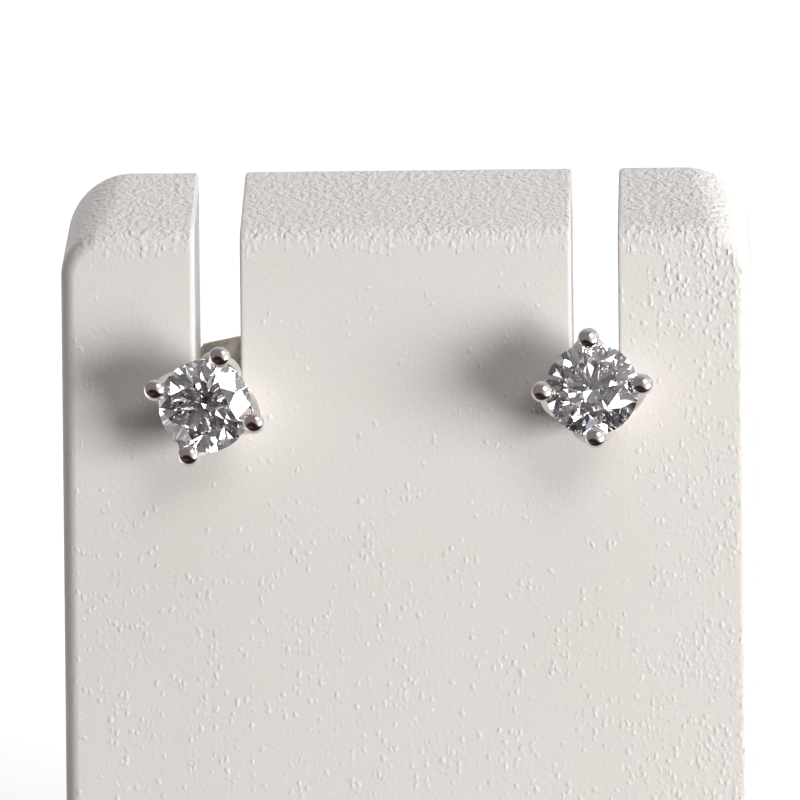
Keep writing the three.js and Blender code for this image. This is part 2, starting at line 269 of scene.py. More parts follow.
class Graph:
    """A node tree with short ways to add and join nodes."""

    def __init__(self, tree: bpy.types.NodeTree) -> None:
        """Takes the tree that the nodes go into."""
        self.tree = tree

    def add(self, kind: str, inputs: Inputs | None = None, **settings: object) -> bpy.types.Node:
        """Adds a node.

        Args:
            kind: The node's type.
            inputs: What goes into its sockets: a socket to join, or a value.
            settings: The node's own properties.

        Returns:
            The node.
        """
        node = self.tree.nodes.new(kind)
        for name, value in settings.items():
            setattr(node, name, value)
        self.fill(node, inputs or {})
        return node

    def fill(self, node: bpy.types.Node, inputs: Inputs) -> None:
        """Joins or sets several inputs of a node."""
        for name, value in inputs.items():
            self.feed(node.inputs[name], value)

    def feed(self, socket: Socket, value: object) -> None:
        """Joins a socket to the input, or sets the input's value."""
        if isinstance(value, bpy.types.NodeSocket):
            self.tree.links.new(value, socket)
        else:
            socket.default_value = value

    def math(self, operation: str, *values: object) -> Socket:
        """The result of a Math node."""
        node = self.add("ShaderNodeMath", dict(enumerate(values)), operation=operation)
        return node.outputs[0]

    def product(self, first: Socket, *others: object) -> Socket:
        """The values multiplied one after another."""
        for other in others:
            first = self.math("MULTIPLY", first, other)
        return first

    def use(self, group: bpy.types.NodeTree, **inputs: object) -> Socket:
        """What a node group gives for these inputs."""
        return self.add("ShaderNodeGroup", inputs, node_tree=group).outputs[0]

    def stretched(self, vector: Socket, scale: Point) -> Socket:
        """The coordinates, scaled along each axis."""
        return self.add("ShaderNodeMapping", {"Vector": vector, "Scale": scale}).outputs["Vector"]

    def bump(self, shader: bpy.types.Node, height: Socket, strength: float, depth: float) -> None:
        """Gives a shader's surface a relief whose depth is in metres."""
        relief = self.add("ShaderNodeBump", {"Height": height, "Strength": strength, "Distance": depth})
        self.feed(shader.inputs["Normal"], relief.outputs["Normal"])

    def dot(self, vector: Socket, direction: Sequence[float]) -> Socket:
        """How far the vector reaches along the direction."""
        node = self.add("ShaderNodeVectorMath", {0: vector, 1: tuple(direction)}, operation="DOT_PRODUCT")
        return node.outputs["Value"]

    def ramp(
        self, value: Socket, low: float, high: float, to_low: float = 0.0, to_high: float = 1.0
    ) -> Socket:
        """The value carried smoothly from one range to another."""
        node = self.add(
            "ShaderNodeMapRange",
            {"Value": value, "From Min": low, "From Max": high, "To Min": to_low, "To Max": to_high},
            interpolation_type="SMOOTHSTEP",
        )
        return node.outputs["Result"]

    def noise(self, vector: Socket, scale: object, detail: float = 2.0, roughness: float = 0.5) -> Socket:
        """A noise pattern's value."""
        node = self.add(
            "ShaderNodeTexNoise",
            {"Vector": vector, "Scale": scale, "Detail": detail, "Roughness": roughness},
        )
        return node.outputs["Fac"]

    def mix(self, share: object, first: object, second: object) -> Socket:
        """Two colours mixed by a share."""
        node = self.add("ShaderNodeMix", data_type="RGBA")
        for name, value in (("Factor_Float", share), ("A_Color", first), ("B_Color", second)):
            socket = next(s for s in node.inputs if s.identifier == name)
            self.feed(socket, (*value, 1.0) if isinstance(value, tuple) else value)
        return next(s for s in node.outputs if s.identifier == "Result_Color")


def new_group(
    name: str, inputs: Iterable[tuple[str, str, object]], outputs: Iterable[tuple[str, str]]
) -> tuple[Graph, bpy.types.Node, bpy.types.Node]:
    """Starts a shader node group.

    Args:
        name: The group's name.
        inputs: Name, socket type and default of each input.
        outputs: Name and socket type of each output.

    Returns:
        The group's graph, its input node and its output node.
    """
    tree = bpy.data.node_groups.new(name, "ShaderNodeTree")
    for label, kind, default in inputs:
        socket = tree.interface.new_socket(name=label, in_out="INPUT", socket_type=kind)
        if default is not None:
            socket.default_value = default
    for label, kind in outputs:
        tree.interface.new_socket(name=label, in_out="OUTPUT", socket_type=kind)
    graph = Graph(tree)
    return graph, graph.add("NodeGroupInput"), graph.add("NodeGroupOutput")


def new_material(name: str) -> tuple[bpy.types.Material, Graph, bpy.types.Node, Socket]:
    """Starts a material with one Principled shader.

    Returns:
        The material, its graph, the shader and the object coordinates' socket.
    """
    material = bpy.data.materials.new(name)
    material.use_nodes = True
    material.node_tree.nodes.clear()
    graph = Graph(material.node_tree)
    shader = graph.add("ShaderNodeBsdfPrincipled")
    output = graph.add("ShaderNodeOutputMaterial")
    graph.feed(output.inputs["Surface"], shader.outputs["BSDF"])
    place = graph.add("ShaderNodeTexCoord").outputs["Object"]
    return material, graph, shader, place


def pebble_group() -> bpy.types.NodeTree:
    """The group that scatters small round pimples: Height is their relief, from 0 to 1."""
    value, vector = "NodeSocketFloat", "NodeSocketVector"
    graph, start, end = new_group(
        "pebbles",
        [("Vector", vector, None), ("Scale", value, 5000.0), ("Share", value, 0.5), ("Width", value, 0.6)],
        [("Height", value)],
    )
    middle_grey = (0.5, 0.5, 0.5)
    bend, softness, smallest = 0.9, 0.12, 0.35
    vector_in, scale_in = start.outputs["Vector"], start.outputs["Scale"]
    shift = graph.add("ShaderNodeTexNoise", {"Vector": vector_in, "Scale": scale_in, "Detail": 1.0})
    moved = graph.add(
        "ShaderNodeVectorMath", {0: shift.outputs["Color"], 1: middle_grey}, operation="SUBTRACT"
    )
    cell = graph.math("DIVIDE", bend, scale_in)
    scaled = graph.add(
        "ShaderNodeVectorMath", {0: moved.outputs["Vector"], "Scale": cell}, operation="SCALE"
    )
    bent = graph.add("ShaderNodeVectorMath", {0: vector_in, 1: scaled.outputs["Vector"]}, operation="ADD")
    cells = graph.add(
        "ShaderNodeTexVoronoi",
        {"Vector": bent.outputs["Vector"], "Scale": scale_in, "Randomness": 1.0},
        feature="F1",
        voronoi_dimensions="3D",
    )
    near = graph.math("DIVIDE", cells.outputs["Distance"], start.outputs["Width"])
    dome = graph.math("SUBTRACT", 1.0, graph.ramp(near, 0.0, 1.0))
    drawn = graph.add("ShaderNodeSeparateColor", {"Color": cells.outputs["Color"]})
    chosen = graph.math("SUBTRACT", start.outputs["Share"], drawn.outputs["Red"])
    raised = graph.ramp(chosen, 0.0, softness)
    size = graph.ramp(drawn.outputs["Green"], 0.0, 1.0, smallest, 1.0)
    graph.feed(end.inputs["Height"], graph.product(dome, raised, size))
    return graph.tree


def smudge_group() -> bpy.types.NodeTree:
    """The group of faint uneven patches: Mask goes from 0 to 1 at the given scale."""
    value, vector = "NodeSocketFloat", "NodeSocketVector"
    graph, start, end = new_group(
        "smudges", [("Vector", vector, None), ("Scale", value, 300.0)], [("Mask", value)]
    )
    fine = graph.noise(start.outputs["Vector"], start.outputs["Scale"], detail=4.0, roughness=0.6)
    graph.feed(end.inputs["Mask"], graph.ramp(fine, 0.35, 0.65))
    return graph.tree


# Finishes


@dataclass(frozen=True)
class Finishes:
    """The finished materials."""

    leatherette: bpy.types.Material
    slot_wall: bpy.types.Material
    diamond: bpy.types.Material
    white_gold: bpy.types.Material
    nut_gold_painted_shade: bpy.types.Material


@dataclass(frozen=True)
class Leatherette:
    """White pebbled leatherette, stretched over the slab's edges, with painted shade on the left and right
    sides.
    """

    lean_deg: float
    edge_height: float
    colour: Colour = (0.845, 0.825, 0.80)
    worn: Colour = (0.83, 0.79, 0.765)
    # Painted shade: the left and right sides are darker than the face so that the side lit by the low softbox
    # keeps its form.
    side: Colour = (0.70, 0.69, 0.68)
    roughness: float = 0.5
    pimples_per_m: float = 4300.0
    patches_per_m: float = 140.0
    relief: float = 0.00003
    relief_strength: float = 0.85
    edge_band: tuple[float, float] = (0.0012, 0.0004)
    corner_band: tuple[float, float] = (0.0065, 0.002)

    def material(
        self, name: str, pebbles: bpy.types.NodeTree, smudges: bpy.types.NodeTree
    ) -> bpy.types.Material:
        """The leatherette with its grain.

        Args:
            name: The material's name.
            pebbles: The group that draws the pimples.
            smudges: The group that draws uneven patches.

        Returns:
            The material.
        """
        material, graph, shader, place = new_material(name)
        along = graph.add(
            "ShaderNodeMapping",
            {"Vector": place, "Rotation": (math.radians(self.lean_deg), 0.0, 0.0)},
        ).outputs["Vector"]
        normal = graph.add("ShaderNodeTexCoord").outputs["Normal"]
        facing_up = graph.dot(normal, UP)
        on_top = graph.ramp(facing_up, 0.6, 0.9)
        near_edge, high = (
            graph.ramp(graph.dot(along, UP), self.edge_height - low, self.edge_height - top)
            for low, top in (self.edge_band, self.corner_band)
        )
        between = graph.ramp(graph.dot(normal, (0.0, -0.29, 0.96)), 0.55, 0.7)
        on_edge = graph.product(near_edge, between, 0.9)
        clustered = graph.ramp(graph.noise(along, 600.0, detail=2.0), 0.25, 0.7)
        downwards = graph.ramp(graph.dot(place, UP), 0.035, 0.022, 0.2, 0.6)
        rightwards = graph.ramp(graph.dot(place, RIGHT), 0.0092, 0.0125, 0.0, 0.55)
        corner = graph.product(high, graph.ramp(graph.dot(place, RIGHT), 0.0095, 0.0125))
        share = graph.product(graph.math("ADD", downwards, rightwards), clustered)
        share = graph.math("ADD", share, graph.product(rightwards, 0.3))
        share = graph.math("ADD", share, graph.product(corner, 0.6))
        tall, long = (graph.stretched(along, scale) for scale in ((1.0, 0.8, 0.75), (1.0, 0.55, 0.5)))
        round_ones = self._pebbles(graph, pebbles, tall, share, 0.7)
        round_ones = graph.product(round_ones, graph.math("MULTIPLY_ADD", corner, 0.9, 1.0))
        long_ones = graph.product(self._pebbles(graph, pebbles, long, on_edge, 0.75), 1.6)
        domes = self._pebbles(graph, pebbles, place, 1.2, 0.85)
        crowded = graph.math("ADD", domes, graph.ramp(graph.noise(place, 3100.0, detail=2.0), 0.3, 0.75))
        crowded = graph.product(crowded, graph.math("MULTIPLY_ADD", rightwards, 1.4, 1.4), on_top)
        grain = graph.math("MAXIMUM", graph.math("MAXIMUM", round_ones, long_ones), crowded)
        hide = graph.product(graph.noise(along, 5200.0, detail=3.0), 0.5)
        waves = graph.product(graph.noise(along, 150.0, detail=1.0), 1.2)
        relief = graph.math("ADD", graph.math("ADD", grain, hide), waves)
        patches = graph.use(smudges, Vector=along, Scale=self.patches_per_m)
        tone = graph.mix(graph.product(patches, 0.35), self.colour, self.worn)
        # Painted shade on the left and right sides, which holds the lit side back from white.
        painted_side_shade = graph.ramp(graph.math("ABSOLUTE", graph.dot(normal, RIGHT)), 0.8, 0.97)
        rough = graph.math("MULTIPLY_ADD", patches, 0.12, self.roughness)
        graph.fill(shader, {"Base Color": graph.mix(painted_side_shade, tone, self.side), "Roughness": rough})
        graph.bump(shader, relief, self.relief_strength, self.relief)
        return material

    def _pebbles(
        self, graph: Graph, pebbles: bpy.types.NodeTree, vector: Socket, share: Socket | float, width: float
    ) -> Socket:
        """One layer of pimples."""
        return graph.use(pebbles, Vector=vector, Scale=self.pimples_per_m, Share=share, Width=width)


@dataclass(frozen=True)
class SlotWallWithPaintedLight:
    """The smooth wrapped wall of a slot. Its near-white colour is partly the smooth wall's own paler tone and
    partly painted light, standing in for light that reaches into the slots from behind.
    """

    # Near-white: partly painted light for the light that reaches into the slots from behind.
    colour: Colour = (0.97, 0.965, 0.95)
    roughness: float = 0.45
    patches_per_m: float = 500.0
    relief: float = 0.00003
    shade: float = 0.97

    def material(self, name: str, smudges: bpy.types.NodeTree) -> bpy.types.Material:
        """The slot wall's material."""
        material, graph, shader, place = new_material(name)
        patches = graph.use(smudges, Vector=place, Scale=self.patches_per_m)
        shaded = tuple(self.shade * c for c in self.colour)
        rough = graph.math("MULTIPLY_ADD", patches, 0.15, self.roughness)
        graph.fill(shader, {"Base Color": graph.mix(patches, self.colour, shaded), "Roughness": rough})
        graph.bump(shader, graph.noise(place, 1500.0), 0.3, self.relief)
        return material


@dataclass(frozen=True)
class PolishedStone:
    """Clear diamond."""

    ior: float = 2.417
    patches_per_m: float = 900.0
    haze: float = 0.004
    clear: Colour = (1.0, 1.0, 1.0)
    cool: Colour = (0.985, 0.99, 1.0)

    def material(self, name: str, smudges: bpy.types.NodeTree) -> bpy.types.Material:
        """The stone's material, with a trace of haze on its facets."""
        material, graph, shader, place = new_material(name)
        shader.inputs["IOR"].default_value = self.ior
        shader.inputs["Transmission Weight"].default_value = 1.0
        patches = graph.use(smudges, Vector=place, Scale=self.patches_per_m)
        tone = graph.mix(patches, self.clear, self.cool)
        graph.fill(shader, {"Base Color": tone, "Roughness": graph.product(patches, self.haze)})
        return material


@dataclass(frozen=True)
class PolishedGold:
    """White gold with a polished face and the traces of its making."""

    colour: Colour = (0.80, 0.775, 0.76)
    dull: Colour = (0.66, 0.62, 0.59)
    roughness: float = 0.07
    scratches: float = 0.12
    patches_per_m: float = 1400.0
    relief: float = 0.00002

    def material(self, name: str, smudges: bpy.types.NodeTree) -> bpy.types.Material:
        """The metal's material."""
        material, graph, shader, place = new_material(name)
        shader.inputs["Metallic"].default_value = 1.0
        patches = graph.use(smudges, Vector=place, Scale=self.patches_per_m)
        tone = graph.mix(graph.product(patches, 0.4), self.colour, self.dull)
        rough = graph.math("MULTIPLY_ADD", patches, 0.08, self.roughness)
        graph.fill(shader, {"Base Color": tone, "Roughness": rough})
        lines = graph.noise(graph.stretched(place, (1.0, 6.0, 1.0)), 4000.0, detail=3.0)
        lines = graph.product(lines, self.scratches)
        relief = graph.math("ADD", lines, graph.noise(place, 1200.0, detail=1.0))
        graph.bump(shader, relief, 0.25, self.relief)
        return material


# Stand


@dataclass
class DisplayStand:
    """The leaning slab with two open slots, on its base plate."""

    height: float = 40.0
    width: float = 30.5
    depth: float = 6.6
    lean_deg: float = 28.0
    corner: float = 2.95
    front_corner: float = 1.9
    edge: float = 0.65
    slot_spacing: float = 16.7
    slot_width: float = 2.1
    slot_depth: float = 9.15
    slot_edge: float = 0.16
    base_depth: float = 30.0
    base_height: float = 5.0
    base_margin: float = 1.5
    base_corner: float = 3.0
    sunk: float = 0.5
    seam_inset: float = 0.75
    seam_width: float = 0.09
    pieces: list[bpy.types.Object] = field(default_factory=list)

    @property
    def lean(self) -> float:
        """The lean in radians."""
        return math.radians(self.lean_deg)

    @property
    def up_slope(self) -> Vector:
        """The direction up the slab's front."""
        return Vector((0.0, math.sin(self.lean), math.cos(self.lean)))

    @property
    def outward(self) -> Vector:
        """The direction square to the slab's front, towards the viewer."""
        return Vector((0.0, -math.cos(self.lean), math.sin(self.lean)))

    @property
    def thickness(self) -> float:
        """The slab's thickness, square to its front."""
        return self.depth * math.cos(self.lean)

    @property
    def front_top(self) -> Vector:
        """The middle of the slab's upper front edge."""
        foot = -self.base_depth / 2 + self.base_margin
        reach = (self.height - self.base_height) * math.tan(self.lean)
        return Vector((0.0, foot + reach, self.height))

    def on_front(self, right: float, down: float) -> Vector:
        """A point of the slab's front, to the right of its middle and down from its upper edge."""
        return self.front_top + RIGHT * right - self.up_slope * down

    def _slot_middles(self) -> tuple[float, float]:
        """Where the two slots are, from left to right."""
        return (-self.slot_spacing / 2, self.slot_spacing / 2)

    def _in_slot(self, x: float) -> bool:
        """Whether a place is within the width of a slot."""
        reach = self.slot_width / 2 + 10 * SLIGHT
        return any(abs(x - middle) < reach for middle in self._slot_middles())

    def _lines_slot(self, part: bmesh.types.BMEdge | bmesh.types.BMFace) -> bool:
        """Whether an edge or a face lies wholly in one slot."""
        places = [v.co.x for v in part.verts]
        return all(self._in_slot(x) for x in (*places, sum(places) / len(places)))

    def slab(self) -> bpy.types.Object:
        """The leaning slab: an outline with its slots, pushed out and rounded, then leaned."""
        half, notch = self.width / 2, self.slot_width / 2
        length = (self.height - self.base_height + self.sunk) / math.cos(self.lean)
        left, right = self._slot_middles()
        top_line = [(half, 0.0)]
        for middle in (right, left):
            top_line += [
                (middle + notch, 0.0),
                (middle + notch, -self.slot_depth),
                (middle - notch, -self.slot_depth),
                (middle - notch, 0.0),
            ]
        outline = [(-half, -length), (half, -length), *top_line, (-half, 0.0)]
        bm = bmesh.new()
        polygon(bm, [(x, y, 0.0) for x, y in outline])
        round_corners(bm, lambda co: abs(co.x) > half - SLIGHT and co.y > -SLIGHT, self.corner, segments=20)
        round_corners(bm, lambda co: abs(co.y + self.slot_depth) < SLIGHT, notch, segments=12)
        thicken(bm, self.depth)
        self._tighten_front(bm)
        slide = self.depth * math.sin(self.lean)
        floor = -self.slot_depth + notch + SLIGHT
        behind = [v for v in bm.verts if v.co.z < SLIGHT and v.co.y < floor and self._in_slot(v.co.x)]
        bmesh.ops.translate(bm, vec=(0.0, -slide, 0.0), verts=behind)
        round_edges(bm, self._is_outer_edge, self.edge, segments=8)
        walls = {f for f in bm.faces if self._lines_slot(f)}
        mouths = {e for e in bm.edges if len(walls.intersection(e.link_faces)) == 1}
        round_edges(bm, lambda e: e in mouths, self.slot_edge, segments=2)
        for face in bm.faces:
            face.material_index = int(self._lines_slot(face))
        self._back_seam(bm)
        back_top = self.front_top + Vector((0.0, self.depth, 0.0))
        axes = Matrix((RIGHT, self.up_slope, (0.0, -1.0, 0.0))).transposed().to_4x4()
        return finish_mesh(bm, "stand_slab", Matrix.Translation(back_top) @ axes, 35.0)

    def _tighten_front(self, bm: bmesh.types.BMesh) -> None:
        """Gives the front's two upper corners a smaller radius than the back's."""
        spare = self.corner - self.front_corner
        for vert in bm.verts:
            side = math.copysign(1.0, vert.co.x)
            out = side * vert.co.x - self.width / 2 + self.corner
            up = vert.co.y + self.corner
            if vert.co.z > self.depth - SLIGHT and min(out, up) > -SLIGHT:
                vert.co.x += side * spare * (1.0 - out / self.corner)
                vert.co.y += spare * (1.0 - up / self.corner)

    def _is_outer_edge(self, edge: bmesh.types.BMEdge) -> bool:
        """Whether an edge of the unrounded slab runs round its front or back, apart from its foot."""
        a, b = (v.co for v in edge.verts)
        level = abs(a.z - b.z) < SLIGHT
        foot = max(a.y, b.y) < -self.base_depth
        return level and not foot and not self._lines_slot(edge)

    def _back_seam(self, bm: bmesh.types.BMesh) -> None:
        """Presses the edge line of the covering's glued-on back sheet into the slab's back."""
        back = max((f for f in bm.faces if f.calc_center_median().z < SLIGHT), key=lambda f: f.calc_area())
        steps = (
            (self.seam_inset, 0.0),
            (self.seam_width, -self.seam_width),
            (self.seam_width, self.seam_width),
        )
        for thickness, rise in steps:
            bmesh.ops.inset_region(
                bm, faces=[back], thickness=thickness, depth=rise, use_boundary=True, use_even_offset=True
            )

    def base(self) -> bpy.types.Object:
        """The base plate with its rounded edges."""
        half = Vector((self.width / 2 + self.base_margin, self.base_depth / 2))
        bm = bmesh.new()
        bmesh.ops.create_grid(bm, x_segments=1, y_segments=1, size=1.0)
        bmesh.ops.scale(bm, vec=(half.x, half.y, 1.0), verts=bm.verts)
        round_corners(bm, lambda co: True, self.base_corner, segments=16)
        thicken(bm, self.base_height)
        level = {e for e in bm.edges if abs(e.verts[0].co.z - e.verts[1].co.z) < SLIGHT}
        round_edges(bm, lambda e: e in level, self.edge, segments=6)
        return finish_mesh(bm, "stand_base", Matrix.Identity(4), 35.0)

    def build(self, finishes: Finishes) -> None:
        """Makes and dresses the slab and the base plate."""
        self.pieces = [self.slab(), self.base()]
        for piece in self.pieces:
            flatten_faces(piece)
            piece.data.materials.append(finishes.leatherette)
            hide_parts("display_stand")
            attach(piece, BODY)
            log.info("%s: %d faces", piece.name, len(piece.data.polygons))
        self.pieces[0].data.materials.append(finishes.slot_wall)


# Studs


@dataclass(frozen=True)
class Seating:
    """How one stud sits in its slot, in millimetres and degrees.

    Offset and rise place the point where its axis meets the slab's front: to the right of the
    slot's middle and up from the slot's floor. Tilt and turn are its axis against the slab's
    normal, up and to the right. Claw_circle is the radius on which the claw tips lie. Roll turns
    the claws clockwise; facets and nut_roll turn the stone and the butterfly back the other way.
    """

    side: str
    slot: int
    offset: float
    rise: float
    claw_circle: float
    tilt: float
    turn: float
    roll: float
    facets: float
    nut_roll: float

    def axis(self, stand: DisplayStand) -> Vector:
        """The direction out of the stone's table."""
        tilted = Quaternion(RIGHT, -math.radians(self.tilt)) @ stand.outward
        return Quaternion(stand.up_slope, math.radians(self.turn)) @ tilted


@dataclass
class Brilliant:
    """A round brilliant: table, crown, girdle and pavilion, cut facet by facet."""

    diameter: float = 4.1
    girdle: float = 0.12
    table_share: float = 0.57
    crown_deg: float = 34.5
    pavilion_deg: float = 40.8
    star_share: float = 0.5
    lower_half_share: float = 0.77
    mains: int = 8
    sides: int = 96

    def facets(self) -> list[tuple[Vector, Vector, Vector]]:
        """Three points of each kind of facet, in the first of the eight sectors."""
        radius, half = self.diameter / 2, self.girdle / 2
        step = 2 * math.pi / self.mains
        crown, pavilion = (math.tan(math.radians(a)) for a in (self.crown_deg, self.pavilion_deg))
        table_corner = radius * self.table_share
        table_height = half + (radius - table_corner) * crown
        table_edge = table_corner * math.cos(step / 2)
        star_end = table_edge + self.star_share * (radius - table_edge)
        half_end = (1 - self.lower_half_share) * radius

        def at(reach: float, turn: float, height: float) -> Vector:
            """A point by its distance from the axis, its angle and its height."""
            return Vector((reach * math.cos(turn), reach * math.sin(turn), height))

        def rise(reach: float) -> float:
            """How far inside the girdle a point halfway between two mains lies."""
            return radius - reach * math.cos(step / 2)

        crown_meet = at(star_end, step / 2, half + rise(star_end) * crown)
        pavilion_meet = at(half_end, step / 2, -half - rise(half_end) * pavilion)
        culet = at(0.0, 0.0, -half - radius * pavilion)
        return [
            (at(table_corner, 0, table_height), at(table_corner, step, table_height), at(0, 0, table_height)),
            (at(table_corner, 0, table_height), crown_meet, at(radius, 0, half)),
            (at(table_corner, 0, table_height), at(table_corner, step, table_height), crown_meet),
            (crown_meet, at(radius, step / 2, half), at(radius, 0, half)),
            (crown_meet, at(radius, step, half), at(radius, step / 2, half)),
            (at(radius, 0, -half), pavilion_meet, culet),
            (at(radius, 0, -half), at(radius, step / 2, -half), pavilion_meet),
            (at(radius, step / 2, -half), at(radius, step, -half), pavilion_meet),
        ]

    def mesh(self) -> bmesh.types.BMesh:
        """The cut stone, with its table towards +Z."""
        bm = bmesh.new()
        radius = self.diameter / 2
        bmesh.ops.create_cone(
            bm, cap_ends=True, segments=self.sides, radius1=radius, radius2=radius, depth=2 * self.diameter
        )
        turns = [Matrix.Rotation(2 * math.pi * i / self.mains, 3, "Z") for i in range(self.mains)]
        for a, b, c in self.facets():
            outward = (b - a).cross(c - a).normalized()
            outward *= math.copysign(1.0, outward.dot(a))
            flat = abs(outward.z) > 1 - SLIGHT
            for turn in turns[:1] if flat else turns:
                self._cut(bm, turn @ a, turn @ outward)
        return bm

    @staticmethod
    def _cut(bm: bmesh.types.BMesh, point: Vector, outward: Vector) -> None:
        """Grinds one facet: takes off what lies outside its plane and closes the cut."""
        made = bmesh.ops.bisect_plane(
            bm,
            geom=[*bm.verts, *bm.edges, *bm.faces],
            dist=ON_PLANE,
            plane_co=point,
            plane_no=outward,
            clear_outer=True,
        )
        rim = [item for item in made["geom_cut"] if isinstance(item, bmesh.types.BMEdge)]
        open_rim = [edge for edge in rim if edge.is_boundary]
        if open_rim:
            bmesh.ops.edgeloop_fill(bm, edges=open_rim)


@dataclass
class ClawSetting:
    """A basket of four leaf-shaped claws with beaded tips, a gallery rail, a base plate and the post."""

    claw_circle: float
    head_height: float = 2.8
    foot_radius: float = 1.35
    floor: float = 0.45
    claw_thickness: float = 0.38
    tip_radius: float = 0.48
    tip_dome: float = 0.32
    tip_rise: float = 0.36
    rail_wire: float = 0.18
    rail_radius: float = 1.72
    rail_drop: float = 1.0
    post_radius: float = 0.4
    post_length: float = 10.5
    clearance: float = 0.04
    claws: int = 4
    claw_rounding: float = 0.11
    foot_rounding: float = 0.12
    notch_from_end: float = 1.6
    notch_depth: float = 0.08
    notch_floor: float = 0.1
    notch_mouth: float = 0.25

    def mesh(self, stone: bmesh.types.BMesh) -> bmesh.types.BMesh:
        """The whole setting, with the girdle's middle at the origin and its front towards +Z.

        Args:
            stone: The stone that it seats, which is freed.

        Returns:
            One closed mesh.
        """
        bm = bmesh.new()
        dome = Matrix.Scale(self.tip_dome / self.tip_radius, 4, UP)
        for i in range(self.claws):
            turn = Matrix.Rotation(i * 2 * math.pi / self.claws, 4, "Z")
            self._claw(bm, turn)
            bead = turn @ Matrix.Translation((self.claw_circle, 0.0, self.tip_rise)) @ dome
            bmesh.ops.create_uvsphere(bm, u_segments=40, v_segments=24, radius=self.tip_radius, matrix=bead)
        self._rail(bm)
        self._foot(bm)
        self._post(bm)
        room = 1.0 + self.clearance / Brilliant.diameter * 2
        bmesh.ops.scale(stone, vec=(room, room, room), verts=stone.verts)
        return carved(bm, stone)

    def _claw(self, bm: bmesh.types.BMesh, turn: Matrix) -> None:
        """One claw: a leaf that swings up and out from the base plate and bends round the stone."""
        part = bmesh.new()
        bmesh.ops.create_grid(part, x_segments=14, y_segments=26, size=1.0)
        # Radius, half width and height of the leaf's outer face, from its foot to its tip.
        run = [
            Vector((self.foot_radius - 0.1, 0.5, -self.head_height + 0.1)),
            Vector((self.foot_radius + 0.25, 1.6, -self.head_height + 0.8)),
            Vector((2.4, 0.95, -self.rail_drop)),
            Vector((self.claw_circle + 0.2, 0.15, self.tip_rise)),
        ]
        for vert in part.verts:
            radius, half_width, height = bezier(run, (vert.co.y + 1.0) / 2.0)
            angle = vert.co.x * half_width / radius
            vert.co = (radius * math.cos(angle), radius * math.sin(angle), height)
        bmesh.ops.recalc_face_normals(part, faces=part.faces)
        if sum((f.normal.dot(f.calc_center_median()) for f in part.faces)) < 0:
            bmesh.ops.reverse_faces(part, faces=part.faces)
        bmesh.ops.solidify(part, geom=list(part.faces), thickness=self.claw_thickness)
        bmesh.ops.recalc_face_normals(part, faces=part.faces)
        round_edges(part, lambda e: e.calc_face_angle(0.0) > 1.0, self.claw_rounding, segments=4)
        bmesh.ops.transform(part, matrix=turn, verts=part.verts)
        copy_into(part, bm)

    def _rail(self, bm: bmesh.types.BMesh) -> None:
        """The gallery rail under the girdle."""
        wire = arc((self.rail_radius, -self.rail_drop), self.rail_wire, 0, 360, 16)
        turned(bm, wire, 96)

    def _foot(self, bm: bmesh.types.BMesh) -> None:
        """The round base plate that the claws stand on."""
        low, top, rim = -self.head_height, -self.head_height + self.floor, self.foot_rounding
        side = arc((self.foot_radius - rim, low + rim), rim, -90, 0, 5)
        upper = arc((self.foot_radius - rim, top - rim), rim, 0, 90, 5)
        turned(bm, [(0.0, low), *side, *upper, (0.0, top)], 64)

    def _post(self, bm: bmesh.types.BMesh) -> None:
        """The post, with the notch that the butterfly back clicks into and a round end."""
        radius, back = self.post_radius, -self.head_height - self.post_length
        end = arc((0.0, back + radius), radius, -90, 0, 8)
        notch, deep = back + self.notch_from_end, radius - self.notch_depth
        below = [(radius, notch - self.notch_mouth), (deep, notch - self.notch_floor)]
        above = [(deep, notch + self.notch_floor), (radius, notch + self.notch_mouth)]
        inside = -self.head_height + self.floor / 2
        turned(bm, [*end, *below, *above, (radius, inside), (0.0, inside)], 32)


@dataclass
class ButterflyBack:
    """A pressed plate whose two ends roll back against the post."""

    width: float = 3.8
    height: float = 3.6
    corner: float = 1.1
    plate: float = 0.3
    roll_radius: float = 0.55
    roll_length: float = 2.4
    roll_turn_deg: float = 310.0
    post_radius: float = 0.4
    post_clearance: float = 0.06
    plate_rounding: float = 0.07
    roll_rounding: float = 0.06

    def mesh(self) -> bmesh.types.BMesh:
        """The back, with its plate's front at z = 0 and its rolls behind."""
        bm = bmesh.new()
        self._plate(bm)
        self._roll(bm)
        self._roll(bm, Matrix.Rotation(math.pi, 4, "Z"))
        return bm

    def _plate(self, bm: bmesh.types.BMesh) -> None:
        """The plate with its hole: an outline and a circle, bridged front and back."""
        part = bmesh.new()
        bmesh.ops.create_grid(part, x_segments=1, y_segments=1, size=0.5)
        bmesh.ops.scale(part, vec=(self.width, self.height, 1.0), verts=part.verts)
        round_corners(part, lambda co: True, self.corner, segments=10)
        hole = self.post_radius + self.post_clearance
        bmesh.ops.delete(part, geom=list(part.faces), context="FACES_ONLY")
        bmesh.ops.create_circle(part, cap_ends=False, segments=44, radius=hole)
        bmesh.ops.triangle_fill(part, edges=list(part.edges), use_beauty=True, use_dissolve=True)
        thicken(part, -self.plate)
        round_edges(part, lambda e: e.calc_face_angle(0.0) > 1.2, self.plate_rounding, segments=3)
        copy_into(part, bm)

    def _roll(self, bm: bmesh.types.BMesh, turn: Matrix | None = None) -> None:
        """One rolled end: the strip's section, pushed out along the roll."""
        part = bmesh.new()
        centre = self.post_radius + self.post_clearance + self.roll_radius + self.plate / 2
        outer = self.roll_radius + self.plate / 2
        middle = (centre, -outer)
        start, end = 90.0, 90.0 - self.roll_turn_deg
        section = arc(middle, outer, start, end, 36) + arc(middle, outer - self.plate, end, start, 36)
        polygon(part, [(x, -self.roll_length / 2, z) for x, z in section])
        thicken(part, self.roll_length, AWAY)
        round_edges(part, lambda e: e.calc_face_angle(0.0) > 1.2, self.roll_rounding, segments=2)
        if turn is not None:
            bmesh.ops.transform(part, matrix=turn, verts=part.verts)
        copy_into(part, bm)


